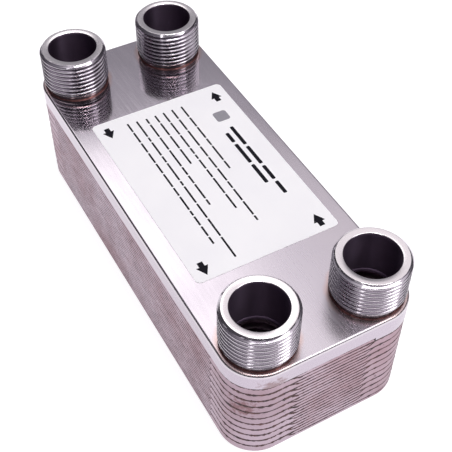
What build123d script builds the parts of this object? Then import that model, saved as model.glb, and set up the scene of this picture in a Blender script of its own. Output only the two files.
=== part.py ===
from build123d import *
import os
from math import cos, radians, sin, tan

# A brazed plate heat exchanger lying on its back, in millimetres. It is a stack of pressed
# steel plates between two covers, brazed with copper, with four threaded connections on top.
# The origin is at the centre of its underside: +Z points to the connections, Y is the long
# axis, and the connections are named far (+Y), near (-Y), left (-X) and right (+X).

# ---- Driving dimensions ----
stack_length = 222.0
stack_width = 88.8
stack_height = 58.5
corner_radius = 17.4
port_spacing_x = 53.0
port_spacing_y = 186.5
bore_radius = 12.0

# Front cover
cover_thickness = 2.0
cover_skirt = 8.7
cover_deep_skirt = 10.4
cover_deep_start = 20.0
cover_bend = 1.2

# Channel plates, whose skirts lean outwards and nest in each other like stacked trays
channel_plates = 22
plate_pitch = (stack_height - cover_skirt) / channel_plates
sheet = 0.36
skirt_lean = 10.0
plate_inset = 0.25
skirt_trim = plate_pitch + 0.4
trim_start = 16.5
trim_slope = 7.0
trim_reach = 26.0

# Herringbone pattern and port lands of a channel plate
ridge_angle = 30.0
ridge_pitch = 12.0
ridge_flat = 2.4
field_length = 148.0
crest_relief = 0.05
land_radius = 15.6
spacer_radius = 14.5

# Back cover, recessed inside the last skirt
back_thickness = 2.0
back_gap = 0.05

# Connections with a G1 pipe thread
connection_height = 22.0
thread_radius = 33.249 / 2
thread_pitch = 2.309
thread_depth = 1.479
thread_angle = 55.0
root_flat = 0.24
thread_chamfer = 1.4
neck_radius = 15.6
neck_height = 1.8
spigot_radius = 14.5
spigot_clearance = 0.05

# Copper braze
ring_radius = 17.2
ring_height = 0.9
seam_width = 0.3
seam_height = 0.9

# Label
label_width = 72.0
label_length = 113.2
label_radius = 2.5
label_thickness = 0.15
label_centre = (1.3, -0.2)

# ---- Derived values ----
lean = tan(radians(skirt_lean))
cover_underside = stack_height - cover_thickness
top = stack_height + connection_height
ports = {
    "far_left": (-port_spacing_x / 2, port_spacing_y / 2),
    "far_right": (port_spacing_x / 2, port_spacing_y / 2),
    "near_left": (-port_spacing_x / 2, -port_spacing_y / 2),
    "near_right": (port_spacing_x / 2, -port_spacing_y / 2),
}


def skirt_edge(number):
    """Height of the lower edge of a plate's skirt, with the front cover as plate 0."""
    return stack_height - cover_skirt - plate_pitch * number


def plate_middle(number):
    """Height of a channel plate's middle plane."""
    return cover_underside - plate_pitch * (number - 0.5)


# Depth of a skirt below its plate's middle plane
skirt_depth = plate_middle(1) - skirt_edge(1)


def leaning_block(bottom, upper, edge, grow=0.0):
    """Solid block with a skirt's outer walls, where edge is the height of that skirt's edge."""
    inset = plate_inset + (bottom - edge) * lean - grow
    with BuildPart() as block:
        with BuildSketch(Plane.XY.offset(bottom)):
            RectangleRounded(stack_width - 2 * inset, stack_length - 2 * inset, corner_radius - inset)
        extrude(amount=upper - bottom, taper=skirt_lean)
    return block.part


def straight_block(bottom, upper, inset=0.0):
    """Solid block with upright walls and rounded corners."""
    with BuildPart() as block:
        with BuildSketch(Plane.XY.offset(bottom)):
            RectangleRounded(stack_width - 2 * inset, stack_length - 2 * inset, corner_radius - inset)
        extrude(amount=upper - bottom)
    return block.part


def right_corners(edge, rise):
    """Solid that trims a skirt at its two right corners, with sloping ends."""
    with BuildPart() as cutter:
        for end in (-1, 1):
            with BuildSketch(Plane.XZ.offset(-end * (stack_length / 2 - trim_reach))):
                with BuildLine():
                    Polyline(
                        (trim_start, edge - seam_height),
                        (trim_start, edge),
                        (trim_start + trim_slope, edge + rise),
                        (stack_width, edge + rise),
                        (stack_width, edge - seam_height),
                        close=True,
                    )
                make_face()
            extrude(amount=-end * stack_width)
    return cutter.part


def stamped_plate(trimmed):
    """One pressed channel plate, its middle plane at z = 0, ports raised on the left."""
    crest = plate_pitch / 2
    rim = crest - crest_relief
    half_sheet = sheet / 2
    edge = -skirt_depth
    field_end = field_length / 2
    rise = plate_pitch - sheet
    slope = (ridge_pitch - 2 * ridge_flat) / 2
    ridges = int(stack_length / ridge_pitch) + 1
    along = (cos(radians(ridge_angle)), sin(radians(ridge_angle)), 0)
    across = (-along[1], along[0], 0)

    # Herringbone: a trapezoid wave pushed along its ridges, trimmed to one half and mirrored
    lower = []
    for ridge in range(-ridges, ridges + 1):
        start = ridge * ridge_pitch
        lower += [(start, -crest), (start + ridge_flat, -crest)]
        lower += [(start + ridge_flat + slope, -crest + rise), (start + ridge_pitch - slope, -crest + rise)]
    upper = [(place, height + sheet) for place, height in reversed(lower)]
    wall_middle = leaning_block(-crest, crest, edge, grow=-half_sheet)
    with BuildPart() as field:
        with BuildSketch(Plane(origin=(0, 0, 0), x_dir=across, z_dir=along)):
            with BuildLine():
                Polyline(*lower, *upper, close=True)
            make_face()
        extrude(amount=stack_width, both=True)
        with BuildSketch(Plane.XY.offset(-crest)):
            with Locations((stack_width / 4, 0)):
                Rectangle(stack_width / 2, field_length)
        extrude(amount=plate_pitch, mode=Mode.INTERSECT)
        mirror(about=Plane.YZ)
        add(wall_middle, mode=Mode.INTERSECT)

    # Flat ends with the four port lands, left ones raised and right ones sunk
    with BuildPart() as ends:
        add(leaning_block(-half_sheet, half_sheet, edge, grow=-half_sheet))
        with BuildSketch(Plane.XY.offset(-half_sheet)):
            Rectangle(stack_width, field_length)
        extrude(amount=sheet, mode=Mode.SUBTRACT)
        for x, y in ports.values():
            land_bottom = crest - sheet if x < 0 else -crest
            wall_bottom = -half_sheet if x < 0 else -crest
            with BuildSketch(Plane.XY.offset(wall_bottom)):
                with Locations((x, y)):
                    Circle(land_radius)
            extrude(amount=crest + half_sheet)
            with BuildSketch(Plane.XY.offset(-crest)):
                with Locations((x, y)):
                    Circle(land_radius - sheet)
            extrude(amount=plate_pitch, mode=Mode.SUBTRACT)
            with BuildSketch(Plane.XY.offset(land_bottom)):
                with Locations((x, y)):
                    Circle(land_radius)
                    Circle(bore_radius, mode=Mode.SUBTRACT)
            extrude(amount=sheet)

    # Ribs that close the two ends of the herringbone
    with BuildPart() as ribs:
        with BuildSketch(Plane.XY.offset(-rim)):
            with GridLocations(0, field_length - sheet, 1, 2):
                Rectangle(stack_width, sheet)
        extrude(amount=2 * rim)
        add(wall_middle, mode=Mode.INTERSECT)

    # Skirt, left long at the left corners and trimmed short at the right ones
    with BuildPart() as plate:
        add(leaning_block(edge, rim, edge))
        add(leaning_block(edge, rim, edge, grow=-sheet), mode=Mode.SUBTRACT)
        if trimmed:
            add(right_corners(edge, skirt_trim), mode=Mode.SUBTRACT)
        add(ends.part)
        add(ribs.part)
        add(field.part)
    return plate.part


def front_cover():
    """Flat cover with rounded edges, a skirt fitting over plate 1, and four spigot holes."""
    edge = skirt_edge(0)
    deep_edge = stack_height - cover_deep_skirt
    with BuildPart() as cover:
        add(straight_block(deep_edge, stack_height))
        fillet(cover.faces().sort_by(Axis.Z)[-1].edges(), radius=cover_bend)
        add(leaning_block(deep_edge, cover_underside, skirt_edge(1)), mode=Mode.SUBTRACT)
        with BuildSketch(Plane.XY.offset(deep_edge)):
            Rectangle(2 * stack_width, 2 * stack_length)
            with Locations((cover_deep_start, -stack_length / 2 + trim_reach)):
                Rectangle(stack_width, stack_length, align=(Align.MIN, Align.MAX), mode=Mode.SUBTRACT)
        extrude(amount=edge - deep_edge, mode=Mode.SUBTRACT)
        with BuildSketch(Plane.XY.offset(cover_underside)):
            with Locations(*ports.values()):
                Circle(spigot_radius + spigot_clearance)
        extrude(amount=cover_thickness, mode=Mode.SUBTRACT)
    return cover.part


def back_cover():
    """Thick closed plate inside the last skirt, against the last channel plate."""
    upper = plate_middle(channel_plates) - plate_pitch / 2
    edge = skirt_edge(channel_plates)
    with BuildPart() as cover:
        add(leaning_block(upper - back_thickness, upper, edge, grow=-sheet - back_gap))
    return cover.part


def connection():
    """Threaded pipe stub whose spigot sits in the cover's hole; rings stand in for the helix."""
    thread_bottom = stack_height + neck_height + thread_radius - neck_radius
    half_mouth = root_flat / 2 + thread_depth * tan(radians(thread_angle / 2))
    root_radius = thread_radius - thread_depth
    grooves = int((top - thread_chamfer - thread_bottom) / thread_pitch)
    with BuildPart() as stub:
        with BuildSketch(Plane.XZ):
            with BuildLine():
                Polyline(
                    (bore_radius, cover_underside),
                    (spigot_radius, cover_underside),
                    (spigot_radius, stack_height),
                    (neck_radius, stack_height),
                    (neck_radius, stack_height + neck_height),
                    (thread_radius, thread_bottom),
                    (thread_radius, top - thread_chamfer),
                    (thread_radius - thread_chamfer, top),
                    (bore_radius, top),
                    close=True,
                )
            make_face()
            for groove in range(grooves):
                middle = thread_bottom + (groove + 0.5) * thread_pitch
                with BuildLine():
                    Polyline(
                        (thread_radius, middle - half_mouth),
                        (root_radius, middle - root_flat / 2),
                        (root_radius, middle + root_flat / 2),
                        (thread_radius, middle + half_mouth),
                        close=True,
                    )
                make_face(mode=Mode.SUBTRACT)
        revolve(axis=Axis.Z)
    return stub.part


def braze_ring(x, y):
    """Copper fillet round a connection's neck, kept on the flat of the cover."""
    with BuildPart() as ring:
        with BuildSketch(Plane.XZ):
            with BuildLine():
                Line((neck_radius, stack_height), (ring_radius, stack_height))
                ThreePointArc(
                    (ring_radius, stack_height),
                    (neck_radius + 0.35 * (ring_radius - neck_radius), stack_height + 0.35 * ring_height),
                    (neck_radius, stack_height + ring_height),
                )
                Line((neck_radius, stack_height + ring_height), (neck_radius, stack_height))
            make_face()
        revolve(axis=Axis.Z)
        with BuildSketch(Plane.XY.offset(stack_height)):
            with Locations((-x, -y)):
                RectangleRounded(
                    stack_width - 2 * cover_bend, stack_length - 2 * cover_bend, corner_radius - cover_bend
                )
        extrude(amount=ring_height, mode=Mode.INTERSECT)
    return ring.part


def braze_seam(number):
    """Copper bead under the edge of one skirt, against the skirts nested inside it."""
    edge = skirt_edge(number)
    bottom = edge - seam_height
    inner_edge = skirt_edge(number + 1)
    with BuildPart() as inner:
        add(leaning_block(bottom, edge, inner_edge))
        if number + 1 < channel_plates:
            add(trim_cutter(number + 1), mode=Mode.SUBTRACT)
        add(leaning_block(bottom, edge, skirt_edge(number + 2)))
    with BuildPart() as seam:
        add(leaning_block(bottom, edge, inner_edge, grow=seam_width))
        if number == 0:
            add(front_cover(), mode=Mode.SUBTRACT)
        else:
            add(trim_cutter(number), mode=Mode.SUBTRACT)
        add(inner.part, mode=Mode.SUBTRACT)
    return seam.part


def trim_cutter(number):
    """Solid that trims one plate's skirt; every second plate is turned half a turn."""
    with BuildPart() as cutter:
        add(right_corners(skirt_edge(number), skirt_trim), rotation=(0, 0, 180 * (number % 2)))
    return cutter.part


def save(part, name):
    part.label = name
    export_step(part, f"parts/{name}.step")


# ---- Subcomponents ----
os.makedirs("parts", exist_ok=True)

save(front_cover(), "front_cover")
save(back_cover(), "back_cover")

trimmed_plate = stamped_plate(trimmed=True)
last_plate = stamped_plate(trimmed=False)
for number in range(1, channel_plates + 1):
    stamping = last_plate if number == channel_plates else trimmed_plate
    with BuildPart() as channel_plate:
        with Locations(Location((0, 0, plate_middle(number)), (0, 0, 180 * (number % 2)))):
            add(stamping)
    save(channel_plate.part, f"channel_plate_{number:02d}")

for number in range(channel_plates):
    save(braze_seam(number), f"braze_seam_{number + 1:02d}")

for name, (x, y) in ports.items():
    with BuildPart() as stub:
        with Locations((x, y)):
            add(connection())
    save(stub.part, f"connection_{name}")

    with BuildPart() as ring:
        with Locations((x, y)):
            add(braze_ring(x, y))
    save(ring.part, f"braze_ring_{name}")

# Spacer rings that close the first channel at the ports where plate 1 is sunk
sunk_land = plate_middle(1) - plate_pitch / 2 + sheet
for name, (x, y) in ports.items():
    if x < 0:
        with BuildPart() as spacer:
            with BuildSketch(Plane.XY.offset(sunk_land)):
                with Locations((x, y)):
                    Circle(spacer_radius)
                    Circle(bore_radius, mode=Mode.SUBTRACT)
            extrude(amount=cover_underside - sunk_land)
        save(spacer.part, f"port_spacer_{name}")

with BuildPart() as label:
    with BuildSketch(Plane.XY.offset(stack_height)):
        with Locations(label_centre):
            RectangleRounded(label_width, label_length, label_radius)
    extrude(amount=label_thickness)
save(label.part, "label")
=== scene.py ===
import math
import random

import bpy
from mathutils import Matrix, Vector, noise


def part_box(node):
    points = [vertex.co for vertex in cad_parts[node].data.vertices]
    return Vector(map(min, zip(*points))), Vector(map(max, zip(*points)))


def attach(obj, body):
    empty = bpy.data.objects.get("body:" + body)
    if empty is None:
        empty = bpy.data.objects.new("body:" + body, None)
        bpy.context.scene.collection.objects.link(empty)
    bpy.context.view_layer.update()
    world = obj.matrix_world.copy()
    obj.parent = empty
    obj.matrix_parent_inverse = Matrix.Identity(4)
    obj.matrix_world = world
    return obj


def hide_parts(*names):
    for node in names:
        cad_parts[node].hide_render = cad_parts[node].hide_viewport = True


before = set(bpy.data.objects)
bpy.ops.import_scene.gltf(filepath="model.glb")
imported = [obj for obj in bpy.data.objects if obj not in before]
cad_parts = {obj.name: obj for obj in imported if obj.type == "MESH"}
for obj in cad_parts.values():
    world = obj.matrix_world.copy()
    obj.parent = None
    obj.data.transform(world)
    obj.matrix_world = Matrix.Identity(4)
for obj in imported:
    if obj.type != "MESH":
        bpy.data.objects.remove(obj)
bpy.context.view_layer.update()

# ---- The assembly, in the frame's metres ----
MM = 0.001
CHANNEL_PLATES = 22
PORTS = ("far_left", "far_right", "near_left", "near_right")

cover_low, cover_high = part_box("front_cover")
COVER_TOP = cover_high.z
HALF_WIDTH, HALF_LENGTH = cover_high.x, cover_high.y
CORNER = 17.4 * MM
LAST_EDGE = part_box(f"channel_plate_{CHANNEL_PLATES:02d}")[0].z
COVER_SKIRT = 8.7 * MM
COVER_DEEP_SKIRT = COVER_TOP - cover_low.z

# The height from one skirt to the next, their lean, and how far the plates lie inside the cover's outline
PITCH = (COVER_TOP - COVER_SKIRT - LAST_EDGE) / CHANNEL_PLATES
LEAN = math.tan(math.radians(10))
PLATE_INSET = 0.25 * MM

stub_low, stub_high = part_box("connection_near_left")
STUB_TOP = stub_high.z
STUB_BOTTOM = stub_low.z
THREAD_RADIUS = (stub_high.x - stub_low.x) / 2
BORE_RADIUS = 12.0 * MM
SPIGOT_RADIUS = 14.5 * MM


def port_axis(port):
    """Where a connection's axis crosses the frame's XY plane."""
    low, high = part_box(f"connection_{port}")
    return (low.x + high.x) / 2, (low.y + high.y) / 2


PORT_X, PORT_Y = port_axis("far_right")


# ---- Mesh helpers ----
def new_piece(name, vertices, faces, material, smooth=True, replaced=()):
    """A mesh piece on the exchanger's one body, standing for the CAD nodes that it replaces."""
    mesh = bpy.data.meshes.new(name)
    mesh.from_pydata(vertices, [], faces)
    mesh.validate()
    mesh.update()
    mesh.materials.append(material)
    for polygon in mesh.polygons:
        polygon.use_smooth = smooth
    piece = bpy.data.objects.new(name, mesh)
    bpy.context.scene.collection.objects.link(piece)
    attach(piece, "root")
    if replaced:
        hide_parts(*replaced)
    return piece


def ring_grid(columns):
    """Vertices and faces of a closed ring of section loops, one loop for each place round it."""
    count, rows = len(columns), len(columns[0])
    vertices = [point for column in columns for point in column]
    faces = []
    for i in range(count):
        after = (i + 1) % count
        for j in range(rows):
            up = (j + 1) % rows
            faces.append((i * rows + j, after * rows + j, after * rows + up, i * rows + up))
    return vertices, faces


def shade_by_angle(piece, degrees):
    """Smooth shading that keeps edges sharper than an angle."""
    piece.data.set_sharp_from_angle(angle=math.radians(degrees))


# ---- Material helpers ----
class Nodes:
    """The node tree of a material or of the world, built one node at a time."""

    def __init__(self, owner):
        owner.use_nodes = True
        self.owner = owner
        self.tree = owner.node_tree
        self.tree.nodes.clear()

    def add(self, kind, inputs=None, **settings):
        """A new node with its settings, each input given a value or linked to another node's output."""
        node = self.tree.nodes.new(kind)
        for key, value in settings.items():
            setattr(node, key, value)
        for key, value in (inputs or {}).items():
            if isinstance(value, bpy.types.NodeSocket):
                self.tree.links.new(value, node.inputs[key])
            else:
                node.inputs[key].default_value = value
        return node

    def object_place(self):
        """The place in the object's own coordinates, which are the frame's metres."""
        return self.add("ShaderNodeTexCoord").outputs["Object"]

    def coordinate(self, place, axis):
        return self.add("ShaderNodeSeparateXYZ", {0: place}).outputs[axis]

    def scaled(self, vector, scale):
        return self.add("ShaderNodeVectorMath", {0: vector, 1: scale}, operation="MULTIPLY").outputs[0]

    def distance(self, place, point):
        return self.add("ShaderNodeVectorMath", {0: place, 1: point}, operation="DISTANCE").outputs["Value"]

    def noise(self, vector, scale, detail=2.0, roughness=0.5):
        inputs = {"Vector": vector, "Scale": scale, "Detail": detail, "Roughness": roughness}
        return self.add("ShaderNodeTexNoise", inputs).outputs["Fac"]

    def between(self, value, low, high, to_low=0.0, to_high=1.0):
        """A value carried from the range low to high onto another range, and clamped there."""
        inputs = {"Value": value, "From Min": low, "From Max": high, "To Min": to_low, "To Max": to_high}
        return self.add("ShaderNodeMapRange", inputs).outputs["Result"]

    def maths(self, operation, first, second=0.0):
        return self.add("ShaderNodeMath", {0: first, 1: second}, operation=operation).outputs[0]

    def mix(self, factor, first, second):
        node = self.add("ShaderNodeMix", data_type="RGBA")
        for name, value in (("Factor", factor), ("A", first), ("B", second)):
            socket = next(s for s in node.inputs if s.name == name and s.enabled)
            if isinstance(value, bpy.types.NodeSocket):
                self.tree.links.new(value, socket)
            else:
                socket.default_value = value
        return next(s for s in node.outputs if s.enabled)

    def bump(self, height, strength, distance, normal=None):
        inputs = {"Height": height, "Strength": strength, "Distance": distance}
        if normal is not None:
            inputs["Normal"] = normal
        return self.add("ShaderNodeBump", inputs).outputs["Normal"]

    def finish(self, **inputs):
        """The material, from the inputs of its principled shader."""
        names = {key.replace("_", " ").title(): value for key, value in inputs.items()}
        names = {key.replace("Ior", "IOR"): value for key, value in names.items()}
        shader = self.add("ShaderNodeBsdfPrincipled", names)
        self.add("ShaderNodeOutputMaterial", {"Surface": shader.outputs["BSDF"]})
        return self.owner


def port_distance(nodes, place):
    """Distance from the nearest connection's axis: the four axes mirror each other in X and Y."""
    folded = nodes.add("ShaderNodeVectorMath", {0: place}, operation="ABSOLUTE").outputs[0]
    return nodes.distance(nodes.scaled(folded, (1, 1, 0)), (PORT_X, PORT_Y, 0))


# ---- Materials ----
COVER_TINT = (0.66, 0.615, 0.65, 1)
COVER_SMUDGE = (0.61, 0.565, 0.61, 1)
SKIRT_PAINTED_SHADE = (0.52, 0.46, 0.53, 1)
STRAW_TINT = (0.66, 0.47, 0.43, 1)
PLATE_TINT = (0.52, 0.42, 0.49, 1)
PLATE_CLOUD = (0.40, 0.27, 0.31, 1)
PLATE_PAINTED_SHADE = (0.26, 0.17, 0.20, 1)
TURNED_TINT = (0.62, 0.58, 0.63, 1)
TURNED_CLOUD = (0.56, 0.51, 0.57, 1)
RIM_PAINTED_HIGHLIGHT = (0.88, 0.84, 0.84, 1)
ROOT_PAINTED_SHADE = (0.07, 0.055, 0.08, 1)
BORE_PAINTED_SHADE = (0.22, 0.16, 0.24, 1)
PINK_COPPER = (0.21, 0.09, 0.085, 1)
BROWN_COPPER = (0.075, 0.033, 0.035, 1)
COPPER_TINT = (0.20, 0.105, 0.10, 1)
DARK_COPPER = (0.045, 0.022, 0.028, 1)
STAIN_TINT = (0.18, 0.075, 0.065, 1)
FILM_WHITE = (0.99, 0.98, 0.99, 1)
FILM_GREY = (0.955, 0.945, 0.965, 1)
INK = (0.002, 0.001, 0.006, 1)
THIN_INK = (0.02, 0.018, 0.03, 1)
BADGE_GREY = (0.26, 0.25, 0.28, 1)
BADGE_PALE = (0.32, 0.31, 0.34, 1)

# A brown stain on the plates near the near-left corner, with painted shade spread wider round it, and a
# smaller stain on the cover's near skirt
STAIN_PLACE = (-39 * MM, -103 * MM, 33.5 * MM)
BLOTCH_PLACE = (-30 * MM, -110.5 * MM, 48.8 * MM)
STAIN_INNER, STAIN_OUTER = 3 * MM, 6.5 * MM

# Where the heat tint round a connection fades out, from the connection's axis
HALO_INNER, HALO_OUTER = 16.9 * MM, 18.9 * MM


def cover_steel():
    """Satin stainless sheet with soft smudges, a heat-tinted halo round each connection, and painted shade
    on its skirt.
    """
    nodes = Nodes(bpy.data.materials.new("cover_steel"))
    place = nodes.object_place()
    height = nodes.coordinate(place, "Z")
    smudge = nodes.noise(place, 28.0, 3.0)
    grain = nodes.noise(nodes.scaled(place, (900, 60, 300)), 1.0, 3.0)
    pimples = nodes.noise(place, 1500.0, 2.0)

    # The halo has a wavering edge and lies on the flat top alone
    waver = nodes.between(nodes.noise(place, 160.0), 0.3, 0.7, -0.5 * MM, 0.5 * MM)
    reach = nodes.maths("ADD", port_distance(nodes, place), waver)
    on_top = nodes.between(height, COVER_TOP - 0.5 * MM, COVER_TOP - 0.1 * MM)
    halo = nodes.maths("MULTIPLY", nodes.between(reach, HALO_INNER, HALO_OUTER, 0.7, 0.0), on_top)

    # Painted shade: the skirt below the top's rounded edge is coloured darker than the flat top
    skirt = nodes.between(height, COVER_TOP - 2.0 * MM, COVER_TOP - 1.0 * MM, 1.0, 0.0)
    colour = nodes.mix(nodes.between(smudge, 0.35, 0.7), COVER_TINT, COVER_SMUDGE)
    colour = nodes.mix(skirt, colour, SKIRT_PAINTED_SHADE)
    colour = nodes.mix(halo, colour, STRAW_TINT)
    ragged = nodes.between(nodes.noise(place, 420.0, 3.0), 0.3, 0.7, -3 * MM, 3 * MM)
    blotch = nodes.maths("ADD", nodes.distance(place, BLOTCH_PLACE), ragged)
    colour = nodes.mix(nodes.between(blotch, STAIN_INNER, STAIN_OUTER, 0.6, 0.0), colour, STAIN_TINT)

    # The sheet is duller towards the near end
    worn = nodes.between(nodes.coordinate(place, "Y"), -80 * MM, 60 * MM, 0.15, 0.0)
    rough = nodes.between(smudge, 0.3, 0.7, 0.08, 0.14)
    rough = nodes.maths("ADD", rough, nodes.between(grain, 0.3, 0.7, -0.02, 0.03))
    rough = nodes.maths("ADD", rough, worn)
    normal = nodes.bump(grain, 0.06, 0.02 * MM)
    normal = nodes.bump(pimples, 0.08, 0.02 * MM, normal)
    return nodes.finish(base_color=colour, metallic=1.0, roughness=rough, normal=normal)


def plate_steel():
    """Pressed stainless sheet, rougher than the cover, with heat-tint, brown stains and painted shade round
    the near-left corner.
    """
    nodes = Nodes(bpy.data.materials.new("plate_steel"))
    place = nodes.object_place()
    cloud = nodes.noise(place, 22.0, 4.0, 0.6)
    specks = nodes.noise(place, 420.0, 3.0, 0.65)
    grain = nodes.noise(nodes.scaled(place, (160, 160, 2600)), 1.0, 3.0, 0.6)
    colour = nodes.mix(nodes.between(cloud, 0.38, 0.68), PLATE_TINT, PLATE_CLOUD)
    colour = nodes.mix(nodes.between(specks, 0.66, 0.78, 0.0, 0.7), colour, DARK_COPPER)
    stain = nodes.distance(place, STAIN_PLACE)
    ragged = nodes.maths("ADD", stain, nodes.between(specks, 0.3, 0.7, -4 * MM, 4 * MM))
    colour = nodes.mix(nodes.between(ragged, STAIN_INNER, STAIN_OUTER, 0.8, 0.0), colour, STAIN_TINT)
    # Painted shade: a wide soft darkening from 10 to 30 mm round the stain's centre
    colour = nodes.mix(nodes.between(stain, 10 * MM, 30 * MM, 0.45, 0.0), colour, PLATE_PAINTED_SHADE)
    rough = nodes.between(cloud, 0.3, 0.7, 0.34, 0.46)
    rough = nodes.maths("ADD", rough, nodes.between(grain, 0.3, 0.7, -0.05, 0.05))
    normal = nodes.bump(grain, 0.22, 0.04 * MM)
    normal = nodes.bump(specks, 0.25, 0.06 * MM, normal)
    return nodes.finish(base_color=colour, metallic=1.0, roughness=rough, normal=normal)


def turned_steel():
    """Bright turned stainless whose tool marks spread its highlights along the axis, with a painted
    highlight on its rim and painted shade in its bore and thread roots.
    """
    nodes = Nodes(bpy.data.materials.new("connection_steel"))
    place = nodes.object_place()
    distance = port_distance(nodes, place)
    height = nodes.coordinate(place, "Z")
    cloud = nodes.noise(place, 90.0, 3.0)
    marks = nodes.noise(nodes.scaled(place, (25, 25, 5200)), 1.0, 2.0, 0.7)

    # Where the rim, the bore's wall and the thread's roots are
    rim = nodes.between(height, STUB_TOP - 0.15 * MM, STUB_TOP - 0.02 * MM)
    off_rim = nodes.maths("SUBTRACT", 1.0, rim)
    inside = nodes.between(distance, BORE_RADIUS + 0.05 * MM, BORE_RADIUS + 0.2 * MM, 1.0, 0.0)
    inside = nodes.maths("MULTIPLY", inside, off_rim)
    root = nodes.between(distance, THREAD_RADIUS - 1.3 * MM, THREAD_RADIUS - 0.4 * MM, 0.85, 0.0)
    outside = nodes.between(distance, SPIGOT_RADIUS - 0.5 * MM, SPIGOT_RADIUS - 0.1 * MM)
    below_chamfer = nodes.between(height, STUB_TOP - 2.0 * MM, STUB_TOP - 1.5 * MM, 1.0, 0.0)
    root = nodes.maths("MULTIPLY", nodes.maths("MULTIPLY", root, outside), below_chamfer)

    colour = nodes.mix(nodes.between(cloud, 0.4, 0.7), TURNED_TINT, TURNED_CLOUD)
    # Painted highlight: the rim's flat top face is coloured lighter than the rest of the steel
    colour = nodes.mix(rim, colour, RIM_PAINTED_HIGHLIGHT)
    # Painted shade: the thread's roots are coloured near black to stand for the shade in them
    colour = nodes.mix(root, colour, ROOT_PAINTED_SHADE)
    # Painted shade: the bore's wall is coloured dark to stand for the shade inside it
    colour = nodes.mix(inside, colour, BORE_PAINTED_SHADE)
    rough = nodes.between(cloud, 0.3, 0.7, 0.13, 0.19)
    rough = nodes.maths("ADD", rough, nodes.maths("MULTIPLY", inside, 0.27))
    return nodes.finish(
        base_color=colour,
        metallic=1.0,
        roughness=rough,
        normal=nodes.bump(nodes.maths("MULTIPLY", marks, inside), 0.05, 0.02 * MM),
        anisotropic=nodes.maths("MULTIPLY", off_rim, 0.85),
        anisotropic_rotation=0.25,
        tangent=nodes.add("ShaderNodeTangent", direction_type="RADIAL", axis="Z").outputs["Tangent"],
    )


def ring_copper():
    """Copper braze round a connection, from bright pink copper to brown oxide."""
    nodes = Nodes(bpy.data.materials.new("ring_copper"))
    place = nodes.object_place()
    cloud = nodes.noise(place, 260.0, 3.0, 0.6)
    colour = nodes.mix(nodes.between(cloud, 0.38, 0.66), PINK_COPPER, BROWN_COPPER)
    rough = nodes.between(cloud, 0.3, 0.7, 0.25, 0.5)
    normal = nodes.bump(nodes.noise(place, 900.0, 3.0), 0.35, 0.08 * MM)
    return nodes.finish(base_color=colour, metallic=0.9, roughness=rough, normal=normal)


def seam_copper():
    """Oxidised copper that shows as a dark brown line under each skirt."""
    nodes = Nodes(bpy.data.materials.new("seam_copper"))
    place = nodes.object_place()
    cloud = nodes.noise(place, 300.0, 3.0, 0.6)
    colour = nodes.mix(nodes.between(cloud, 0.4, 0.72), DARK_COPPER, COPPER_TINT)
    rough = nodes.between(cloud, 0.3, 0.7, 0.45, 0.7)
    normal = nodes.bump(nodes.noise(place, 1100.0, 3.0), 0.5, 0.1 * MM)
    return nodes.finish(
        base_color=colour,
        metallic=0.35,
        roughness=rough,
        normal=normal,
        specular_ior_level=0.2,
    )


def label_film():
    """White film with the faint ripple of a sticker on metal."""
    nodes = Nodes(bpy.data.materials.new("label_film"))
    place = nodes.object_place()
    ripple = nodes.noise(place, 45.0, 2.0)
    fibre = nodes.noise(place, 2400.0, 2.0)
    colour = nodes.mix(nodes.between(ripple, 0.3, 0.7), FILM_WHITE, FILM_GREY)
    rough = nodes.between(ripple, 0.3, 0.7, 0.38, 0.5)
    normal = nodes.bump(fibre, 0.05, 0.01 * MM)
    return nodes.finish(base_color=colour, roughness=rough, normal=normal)


def print_ink():
    """Printed ink, slightly uneven in the way it covers."""
    nodes = Nodes(bpy.data.materials.new("print_ink"))
    place = nodes.object_place()
    cover = nodes.noise(place, 3000.0, 2.0)
    colour = nodes.mix(nodes.between(cover, 0.6, 0.8), INK, THIN_INK)
    rough = nodes.between(cover, 0.3, 0.7, 0.45, 0.6)
    return nodes.finish(base_color=colour, roughness=rough, specular_ior_level=0.15)


def badge_ink():
    """Pale grey ink of the blank badge."""
    nodes = Nodes(bpy.data.materials.new("badge_ink"))
    cloud = nodes.noise(nodes.object_place(), 800.0, 2.0)
    colour = nodes.mix(cloud, BADGE_GREY, BADGE_PALE)
    return nodes.finish(base_color=colour, roughness=nodes.between(cloud, 0.3, 0.7, 0.4, 0.5))


COVER, PLATE, TURNED = cover_steel(), plate_steel(), turned_steel()
RING, SEAM = ring_copper(), seam_copper()
FILM, PRINT, BADGE = label_film(), print_ink(), badge_ink()


def finish_cad_nodes():
    """The pressed parts keep their CAD shape and get their finish here."""
    for name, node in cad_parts.items():
        if name in ("front_cover", "back_cover"):
            material = COVER
        elif name.startswith(("channel_plate", "port_spacer")):
            material = PLATE
        else:
            continue
        node.data.materials.clear()
        node.data.materials.append(material)
        for polygon in node.data.polygons:
            polygon.use_smooth = True
        shade_by_angle(node, 35)


# ---- Connections ----
NECK_RADIUS = 15.6 * MM
NECK_HEIGHT = 1.8 * MM
THREAD_PITCH = 2.309 * MM
THREAD_DEPTH = 1.479 * MM
THREAD_CHAMFER = 1.4 * MM
THREAD_BOTTOM = COVER_TOP + NECK_HEIGHT
RIM_BREAK = 0.35 * MM
SPIGOT_LIP = 0.35 * MM
STUB_COLUMNS = 144
THREAD_ROWS = 150


def thread_form(turns):
    """Depth below the crest of a rounded 55 degree thread, from 0 to 1, at a place along its pitch."""
    ramp = abs(2 * (turns % 1) - 1)
    ramp = min(max((ramp - 1 / 6) * 1.5, 0), 1)
    return 0.45 * ramp + 0.55 * ramp * ramp * (3 - 2 * ramp)


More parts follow.
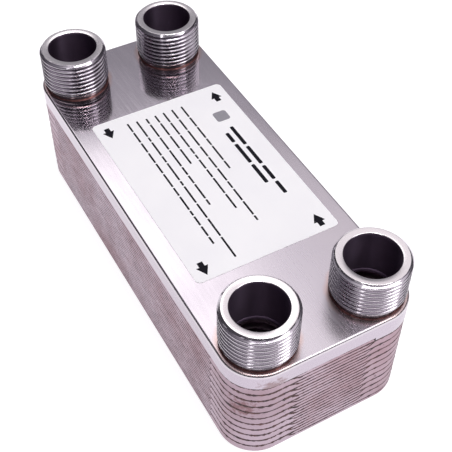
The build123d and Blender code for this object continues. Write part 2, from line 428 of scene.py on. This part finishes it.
def stub_radius(z, turn):
    """Outer radius of a connection at a height and a share of a turn.

    The thread grows out of the plain neck over its first turn, and a chamfer cuts it at the top.
    """
    radius = THREAD_RADIUS - THREAD_DEPTH * thread_form((z - THREAD_BOTTOM) / THREAD_PITCH - turn)
    run_in = min(max((z - THREAD_BOTTOM) / (0.8 * THREAD_PITCH), 0), 1)
    radius = NECK_RADIUS + (radius - NECK_RADIUS) * run_in
    return min(radius, THREAD_RADIUS - THREAD_CHAMFER + (STUB_TOP - z) * 1.05)


def turned_connection(port, turn_offset):
    """A pipe stub with a helical thread outside, and a smooth bore with a small lip at its foot."""
    x, y = port_axis(port)
    rim_outer = THREAD_RADIUS - THREAD_CHAMFER
    row_height = (STUB_TOP - THREAD_BOTTOM) / THREAD_ROWS
    thread_heights = [THREAD_BOTTOM + row_height * row for row in range(THREAD_ROWS + 1)]
    inner = [
        (rim_outer - 0.1 * MM, STUB_TOP),
        (BORE_RADIUS + RIM_BREAK + 0.05 * MM, STUB_TOP),
        (BORE_RADIUS + 0.6 * RIM_BREAK, STUB_TOP - 0.15 * RIM_BREAK),
        (BORE_RADIUS, STUB_TOP - RIM_BREAK),
        (BORE_RADIUS, STUB_TOP - 1.5 * MM),
        (BORE_RADIUS, COVER_TOP - 0.4 * MM),
        (BORE_RADIUS - 0.12 * MM, COVER_TOP - 0.5 * MM),
        (BORE_RADIUS - 0.3 * MM, COVER_TOP - 0.8 * MM),
        (BORE_RADIUS - SPIGOT_LIP, COVER_TOP - 1.1 * MM),
        (BORE_RADIUS - SPIGOT_LIP, STUB_BOTTOM),
        (SPIGOT_RADIUS, STUB_BOTTOM),
        (SPIGOT_RADIUS, COVER_TOP),
        (NECK_RADIUS, COVER_TOP),
        (NECK_RADIUS, COVER_TOP + 0.6 * NECK_HEIGHT),
    ]
    columns = []
    for column in range(STUB_COLUMNS):
        turn = column / STUB_COLUMNS
        across, along = math.cos(2 * math.pi * turn), math.sin(2 * math.pi * turn)
        outer = [(stub_radius(z, turn + turn_offset), z) for z in thread_heights]
        columns.append([(x + radius * across, y + radius * along, z) for radius, z in outer + inner])
    vertices, faces = ring_grid(columns)
    name = f"threaded_stub_{port}"
    piece = new_piece(name, vertices, faces, TURNED, replaced=[f"connection_{port}"])
    shade_by_angle(piece, 50)


# ---- Copper fillets round the connections ----
RING_COLUMNS = 180
RING_WIDTH = 0.68 * MM
RING_HEIGHT = 0.55 * MM
COVER_ROUND = 1.25 * MM


def room_on_cover(x, y, out):
    """How far the flat of the cover reaches from a connection's axis in a direction."""
    return min(
        (HALF_WIDTH - COVER_ROUND - abs(x)) / max(out.x * math.copysign(1, x), 1e-6),
        (HALF_LENGTH - COVER_ROUND - abs(y)) / max(out.y * math.copysign(1, y), 1e-6),
    )


def copper_fillet(port):
    """An uneven fillet of braze round a connection's neck, kept on the flat of the cover."""
    x, y = port_axis(port)
    columns = []
    for column in range(RING_COLUMNS):
        angle = 2 * math.pi * column / RING_COLUMNS
        out = Vector((math.cos(angle), math.sin(angle), 0))
        wave = noise.noise(Vector((x, y, 0)) / MM + 3 * out)
        wave += 0.5 * noise.noise(Vector((y, x, 5)) / MM + 11 * out)
        height = RING_HEIGHT * (1 + 0.4 * wave)
        outer = min(NECK_RADIUS + RING_WIDTH * (1 + 0.35 * wave), room_on_cover(x, y, out))
        width = outer - NECK_RADIUS
        base = COVER_TOP - 0.05 * MM
        section = [
            (NECK_RADIUS - 0.1 * MM, base),
            (outer, base),
            (outer - 0.02 * MM, COVER_TOP + 0.10 * MM),
            (NECK_RADIUS + 0.62 * width, COVER_TOP + 0.26 * height),
            (NECK_RADIUS + 0.28 * width, COVER_TOP + 0.52 * height),
            (NECK_RADIUS + 0.06 * width, COVER_TOP + height),
            (NECK_RADIUS - 0.1 * MM, COVER_TOP + 1.02 * height),
        ]
        columns.append([(x + radius * out.x, y + radius * out.y, z) for radius, z in section])
    vertices, faces = ring_grid(columns)
    name = f"copper_fillet_{port}"
    new_piece(name, vertices, faces, RING, replaced=[f"braze_ring_{port}"])


# ---- Copper seams under the skirts ----
SEAM_STEP = 0.7 * MM
TRIM_REACH = 26.0 * MM
DEEP_START = 20.0 * MM
TRIM_START = 16.5 * MM
TRIM_SLOPE = 7.0 * MM
SKIRT_TRIM = PITCH + 0.4 * MM
BEAD_MOST = 0.22 * MM
BEAD_LEAST = 0.02 * MM
RAGGED_CENTRE = (10 * MM - HALF_WIDTH, 4 * MM - HALF_LENGTH)
RAGGED_REACH = 24 * MM
RAGGED_FADE = 9 * MM


def outline_point(along, inset):
    """Point and outward direction on the stack's rounded outline, set in by inset."""
    straight_x, straight_y = HALF_WIDTH - CORNER, HALF_LENGTH - CORNER
    radius = CORNER - inset
    quarter = math.pi * CORNER / 2
    corners = ((1, 1), (-1, 1), (-1, -1), (1, -1))
    for side in range(4):
        run = 2 * (straight_y if side % 2 == 0 else straight_x)
        heading = side * math.pi / 2
        out = Vector((math.cos(heading), math.sin(heading), 0))
        forward = Vector((-out.y, out.x, 0))
        centre = Vector((corners[side][0] * straight_x, corners[side][1] * straight_y, 0))
        if along < run:
            return centre - forward * (run - along) + out * radius, out
        along -= run
        if along < quarter:
            turn = heading + along / CORNER
            out = Vector((math.cos(turn), math.sin(turn), 0))
            return centre + out * radius, out
        along -= quarter

    # Past the end by a rounding error, which is the start again
    return outline_point(0.0, inset)


OUTLINE_LENGTH = 4 * (HALF_WIDTH + HALF_LENGTH - 2 * CORNER) + 2 * math.pi * CORNER


def skirt_level(number):
    """Height of a skirt's untrimmed lower edge: the cover's is number 0."""
    return COVER_TOP - COVER_SKIRT - PITCH * number


def skirt_edge(number, point):
    """Height of a skirt's lower edge at a place.

    A plate's two corners on one side are trimmed, and the next plate's on the other side. The cover's
    skirt is deeper at the near-right corner.
    """
    edge = skirt_level(number)
    if number == 0:
        deep = point.x > DEEP_START and point.y < TRIM_REACH - HALF_LENGTH
        return COVER_TOP - COVER_DEEP_SKIRT if deep else edge
    if abs(point.y) < HALF_LENGTH - TRIM_REACH:
        return edge
    x = point.x if number % 2 == 0 else -point.x
    return edge + SKIRT_TRIM * min(max((x - TRIM_START) / TRIM_SLOPE, 0), 1)


def corner_weight(point):
    """How close a place is to the ragged near-left corner, from 0 to 1."""
    reach = math.hypot(point.x - RAGGED_CENTRE[0], point.y - RAGGED_CENTRE[1])
    return min(max((RAGGED_REACH - reach) / RAGGED_FADE, 0), 1)


def trim_step_weight(point):
    """How close a place on a short side is to where a trim gets its full height, from 0 to 1."""
    if abs(point.y) <= 0.9 * HALF_LENGTH:
        return 0
    return max(1 - abs(abs(point.x) - TRIM_START - TRIM_SLOPE) / (1.0 * MM), 0)


def on_wall(point, out, number, z, proud):
    """A place at a height on a skirt's leaning outer wall, or proud of it but inside the outline."""
    lean_in = (z - skirt_level(number)) * LEAN
    return point + out * min(proud - lean_in, PLATE_INSET - 0.01 * MM)


def copper_seam(number):
    """An uneven bead of dark copper that hangs under a skirt's edge, all round the stack.

    At each place it stands proud of the wall, creeps up over the edge and drops below it, each by
    its own uneven amount, and by more at the ragged corner and where a trim gets its full height.
    """
    count = int(OUTLINE_LENGTH / SEAM_STEP)
    columns = []
    for index in range(count):
        point, out = outline_point(OUTLINE_LENGTH * index / count, PLATE_INSET)
        edge = skirt_edge(number, point)
        ragged = corner_weight(point)
        step = trim_step_weight(point)
        key = point / MM
        key.z = 7.3 * number
        slow = noise.noise(key * 0.13)
        fine = noise.noise(key * 0.8) + 0.6 * noise.noise(key * 2.1)
        swell = 0.10 + 0.07 * slow + 0.05 * fine + 0.10 * step + ragged * (0.04 + 0.10 * max(fine, -0.2))
        proud = min(max(swell * MM, BEAD_LEAST), BEAD_MOST)
        creep = (0.05 + 0.08 * max(fine, 0) + 0.25 * step + ragged * 0.35 * max(fine, 0)) * MM
        drop = (1.05 + 0.22 * slow + 0.18 * fine + 0.3 * step + ragged * (0.15 + 0.3 * fine)) * MM
        top, low = edge + creep, edge - max(drop, 0.5 * MM)
        section = [
            (on_wall(point, out, number, top, -0.30 * MM), top),
            (on_wall(point, out, number, top, 0.02 * MM), top),
            (on_wall(point, out, number, edge, 0.6 * proud), edge + 0.02 * MM),
            (on_wall(point, out, number, edge, proud - 0.25 * MM), edge - 0.30 * MM),
            (on_wall(point, out, number + 1, low, 0.10 * MM), low + 0.10 * MM),
            (on_wall(point, out, number + 1, low, -0.30 * MM), low),
        ]
        columns.append([(at.x, at.y, z) for at, z in section])
    vertices, faces = ring_grid(columns)
    name = f"copper_seam_{number + 1:02d}"
    new_piece(name, vertices, faces, SEAM, replaced=[f"braze_seam_{number + 1:02d}"])


# ---- Label ----
LABEL_LOW, LABEL_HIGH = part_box("label")
LABEL_CORNER = 2.5 * MM
INK_HEIGHT = 0.03 * MM
CORNER_STEPS = 10


def flat_piece(name, outline, low, high, material, bevel=0.0, replaced=()):
    """A flat piece of the label with a counter-clockwise outline, its top edge bevelled or plain."""
    count = len(outline)
    middle = Vector((sum(x for x, y in outline) / count, sum(y for x, y in outline) / count))
    loops = [(0.0, low), (0.0, high - bevel)]
    if bevel:
        loops += [(0.3 * bevel, high - 0.3 * bevel), (bevel, high)]
    vertices = []
    for inset, z in loops:
        for point in outline:
            reach = Vector(point) - middle
            shrunk = middle + reach * (1 - inset / max(reach.length, 1e-9))
            vertices.append((shrunk.x, shrunk.y, z))
    faces = [tuple(reversed(range(count)))]
    top = (len(loops) - 1) * count
    for base in range(0, top, count):
        for i in range(count):
            after = (i + 1) % count
            faces.append((base + i, base + after, base + count + after, base + count + i))
    faces.append(tuple(range(top, top + count)))
    new_piece(name, vertices, faces, material, smooth=False, replaced=replaced)


def rounded_rectangle(low, high, radius, steps=CORNER_STEPS):
    """Counter-clockwise outline of a rectangle with round corners."""
    outline = []
    centres = (
        (high.x - radius, high.y - radius),
        (low.x + radius, high.y - radius),
        (low.x + radius, low.y + radius),
        (high.x - radius, low.y + radius),
    )
    for quarter, (cx, cy) in enumerate(centres):
        for step in range(steps + 1):
            angle = (quarter + step / steps) * math.pi / 2
            outline.append((cx + radius * math.cos(angle), cy + radius * math.sin(angle)))
    return outline


def label_sheet():
    """The film itself, lying on the cover."""
    outline = rounded_rectangle(LABEL_LOW, LABEL_HIGH, LABEL_CORNER)
    flat_piece("label_sheet", outline, COVER_TOP, LABEL_HIGH.z, FILM, 0.05 * MM, ["label"])


def printed(name, outline, material=PRINT):
    """A patch of ink on the film."""
    flat_piece(name, outline, LABEL_HIGH.z, LABEL_HIGH.z + INK_HEIGHT, material)


ARROW_LENGTH = 7.75 * MM
ARROW_HEAD = 5.1 * MM
ARROW_HALF_WIDTH = 2.9 * MM
ARROW_HALF_SHAFT = 1.35 * MM

# Each arrow's middle on the label, and 1 where it points along +Y or -1 along -Y
ARROWS = {
    "far_left": (-28.5 * MM, 47.8 * MM, -1),
    "near_left": (-28.5 * MM, -50.3 * MM, -1),
    "near_right": (30.2 * MM, -49.9 * MM, 1),
    "far_right": (30.7 * MM, 47.7 * MM, 1),
}


def printed_arrow(port, x, y, heading):
    """A block arrow beside a connection, pointing along +Y or -Y."""
    half = ARROW_LENGTH / 2
    neck = half - ARROW_HEAD
    outline = [
        (-ARROW_HALF_SHAFT, -half),
        (ARROW_HALF_SHAFT, -half),
        (ARROW_HALF_SHAFT, neck),
        (ARROW_HALF_WIDTH, neck),
        (0.0, half),
        (-ARROW_HALF_WIDTH, neck),
        (-ARROW_HALF_SHAFT, neck),
    ]
    printed(f"flow_arrow_{port}", [(x + heading * across, y + heading * along) for across, along in outline])


# Each row's X on the label, and the Y where it starts and where it ends, in millimetres
TITLE_ROWS = ((26.4, 23.6, -31.3), (22.2, 20.4, -25.7))
DETAIL_ROWS = (
    (11.6, 49.0, -1.8),
    (6.3, 49.0, -37.0),
    (1.5, 49.0, -27.0),
    (-3.1, 49.0, 7.5),
    (-8.0, 49.0, -18.4),
    (-13.0, 49.5, -52.9),
    (-17.8, 50.0, -40.0),
)
TITLE_BAR = 1.9 * MM
DETAIL_BAR = 0.95 * MM
TITLE_LENGTHS = (6 * MM, 16 * MM)
DETAIL_LENGTHS = (3 * MM, 13 * MM)


def bar_row(name, row, height, seed, shortest, longest):
    """A row of plain rounded bars of uneven length, where print would be, read along -Y."""
    x, place, end = (value * MM for value in row)
    lengths = random.Random(seed)
    index = 0
    while place > end + shortest:
        length = min(lengths.uniform(shortest, longest), place - end)
        low = Vector((x - height / 2, place - length))
        high = Vector((x + height / 2, place))
        index += 1
        printed(f"{name}_{index:02d}", rounded_rectangle(low, high, 0.3 * height, 4))
        place -= length + 0.9 * height


BADGE_MIDDLE = Vector((26.1, 33.0)) * MM
BADGE_HALF = Vector((3.6, 3.6)) * MM
BADGE_CORNER = 1.4 * MM


def blank_badge():
    """A plain rounded square, with nothing on it."""
    outline = rounded_rectangle(BADGE_MIDDLE - BADGE_HALF, BADGE_MIDDLE + BADGE_HALF, BADGE_CORNER, 6)
    printed("blank_badge", outline, BADGE)


def label_print():
    """Plain bars in place of every line of text, the four flow arrows and the blank badge."""
    blank_badge()
    for port, (x, y, heading) in ARROWS.items():
        printed_arrow(port, x, y, heading)
    for number, row in enumerate(TITLE_ROWS):
        bar_row(f"title_bar_{number + 1}", row, TITLE_BAR, number, *TITLE_LENGTHS)
    for number, row in enumerate(DETAIL_ROWS):
        bar_row(f"detail_bar_{number + 1}", row, DETAIL_BAR, 10 + number, *DETAIL_LENGTHS)


# Each connection's thread starts at its own place round it
THREAD_START = 0.27

finish_cad_nodes()
for index, port in enumerate(PORTS):
    turned_connection(port, THREAD_START * index)
    copper_fillet(port)
for number in range(CHANNEL_PLATES):
    copper_seam(number)
label_sheet()
label_print()


# ---- Studio, in metres and watts ----
FLOOR_HALF = 30.0
FLOOR_DROP = -0.02 * MM
FLOOR_GLOW = 0.91
NEAR_GLOW = 1.12
NEAR_GLOW_FULL, NEAR_GLOW_END = -0.20, -0.10
PAPER_TINTS = (0.30, 0.295, 0.30, 1), (0.32, 0.315, 0.32, 1)
GLOW_TINTS = (0.99, 0.98, 1.0, 1), (1.0, 0.99, 1.0, 1)


def floor_paper():
    """White paper lit from below as a light table is, and brighter at the near end."""
    nodes = Nodes(bpy.data.materials.new("floor_paper"))
    place = nodes.object_place()
    along = nodes.coordinate(place, "Y")
    cloud = nodes.noise(place, 3.0)
    return nodes.finish(
        base_color=nodes.mix(cloud, *PAPER_TINTS),
        roughness=0.9,
        emission_color=nodes.mix(cloud, *GLOW_TINTS),
        emission_strength=nodes.between(along, NEAR_GLOW_FULL, NEAR_GLOW_END, NEAR_GLOW, FLOOR_GLOW),
    )


def floor():
    """A plain pale floor just under the exchanger."""
    signs = ((-1, -1), (1, -1), (1, 1), (-1, 1))
    mesh = bpy.data.meshes.new("floor")
    mesh.from_pydata([(x * FLOOR_HALF, y * FLOOR_HALF, FLOOR_DROP) for x, y in signs], [], [(0, 1, 2, 3)])
    mesh.materials.append(floor_paper())
    sheet = bpy.data.objects.new("floor", mesh)
    bpy.context.scene.collection.objects.link(sheet)


# Brightness of the room by the sine of the elevation, towards its bright side and away from it
BRIGHT_WAY = (0.985, 0.174, 0)
BRIGHT_SKY = ((0.0, 0.05), (0.45, 0.07), (0.61, 0.12), (0.655, 0.35), (0.71, 0.90), (1.0, 0.95))
DARK_SKY = ((0.0, 0.04), (0.60, 0.08), (0.90, 0.25), (1.0, 0.9))


def room_colour(nodes, height, stops):
    """The room's colour at a height: grey with a faint cool cast where it is dim."""
    ramp = nodes.add("ShaderNodeValToRGB", {"Fac": height})
    elements = ramp.color_ramp.elements
    while len(elements) < len(stops):
        elements.new(0.5)
    for element, (where, level) in zip(elements, stops):
        element.position = where
        element.color = (level, 0.95 * level, level * (1.10 - 0.10 * min(level, 1)), 1)
    return ramp.outputs["Color"]


def surroundings():
    """A soft room: pale overhead, darker towards the horizon, so that the steel has something to show."""
    world = bpy.data.worlds.new("studio")
    bpy.context.scene.world = world
    nodes = Nodes(world)
    way = nodes.add("ShaderNodeTexCoord").outputs["Generated"]
    height = nodes.coordinate(way, "Z")
    towards = nodes.add("ShaderNodeVectorMath", {0: way, 1: BRIGHT_WAY}, operation="DOT_PRODUCT")
    side = nodes.between(towards.outputs["Value"], -0.15, 0.15)
    colour = nodes.mix(side, room_colour(nodes, height, DARK_SKY), room_colour(nodes, height, BRIGHT_SKY))
    background = nodes.add("ShaderNodeBackground", {"Color": colour, "Strength": 1.0})
    nodes.add("ShaderNodeOutputWorld", {"Surface": background.outputs["Background"]})


LAMP_AIM = Vector((0, 0, 0.05))


def softbox(name, at, width, height, power, colour=(1, 1, 1)):
    """A rectangular area light, facing the middle of the exchanger."""
    light = bpy.data.lights.new(name, "AREA")
    light.shape = "RECTANGLE"
    light.size, light.size_y = width, height
    light.energy = power
    light.color = colour
    lamp = bpy.data.objects.new(name, light)
    lamp.location = at
    lamp.rotation_euler = (LAMP_AIM - Vector(at)).to_track_quat("-Z", "Y").to_euler()
    bpy.context.scene.collection.objects.link(lamp)


CAMERA_EYE = Vector((-141.9, -272.6, 360.1)) * MM
CAMERA_TARGET = Vector((4.71, -10.63, 30.0)) * MM
CAMERA_ROLL = math.radians(0.335)
CAMERA_LENS = 72.7
CAMERA_SENSOR = 36.0


def camera():
    """The viewing angle of a hand-held shot from above the near-left corner."""
    view = bpy.data.cameras.new("camera")
    view.lens = CAMERA_LENS
    view.sensor_width = CAMERA_SENSOR
    view.clip_start = 0.01
    seat = bpy.data.objects.new("camera", view)
    turn = (CAMERA_TARGET - CAMERA_EYE).to_track_quat("-Z", "Y").to_matrix().to_4x4()
    seat.matrix_world = Matrix.Translation(CAMERA_EYE) @ turn @ Matrix.Rotation(CAMERA_ROLL, 4, "Z")
    bpy.context.scene.collection.objects.link(seat)
    bpy.context.scene.camera = seat


floor()
surroundings()
softbox("overhead", (0.22, 1.04, 1.70), 0.85, 1.1, 3.0)
softbox("far_card", (0.75, 1.60, 0.95), 2.6, 0.9, 1.7, (0.94, 0.92, 1.0))
softbox("key", (0.68, -0.68, 1.75), 0.40, 1.2, 6.5)
softbox("near_right", (0.75, -1.20, 0.95), 0.5, 0.4, 1.0)
softbox("near_left_strip", (-0.73, -0.51, 1.68), 0.16, 0.9, 1.2)
softbox("top", (0.10, -0.10, 2.0), 0.5, 0.5, 11)
camera()
bpy.context.scene.view_settings.view_transform = "Standard"
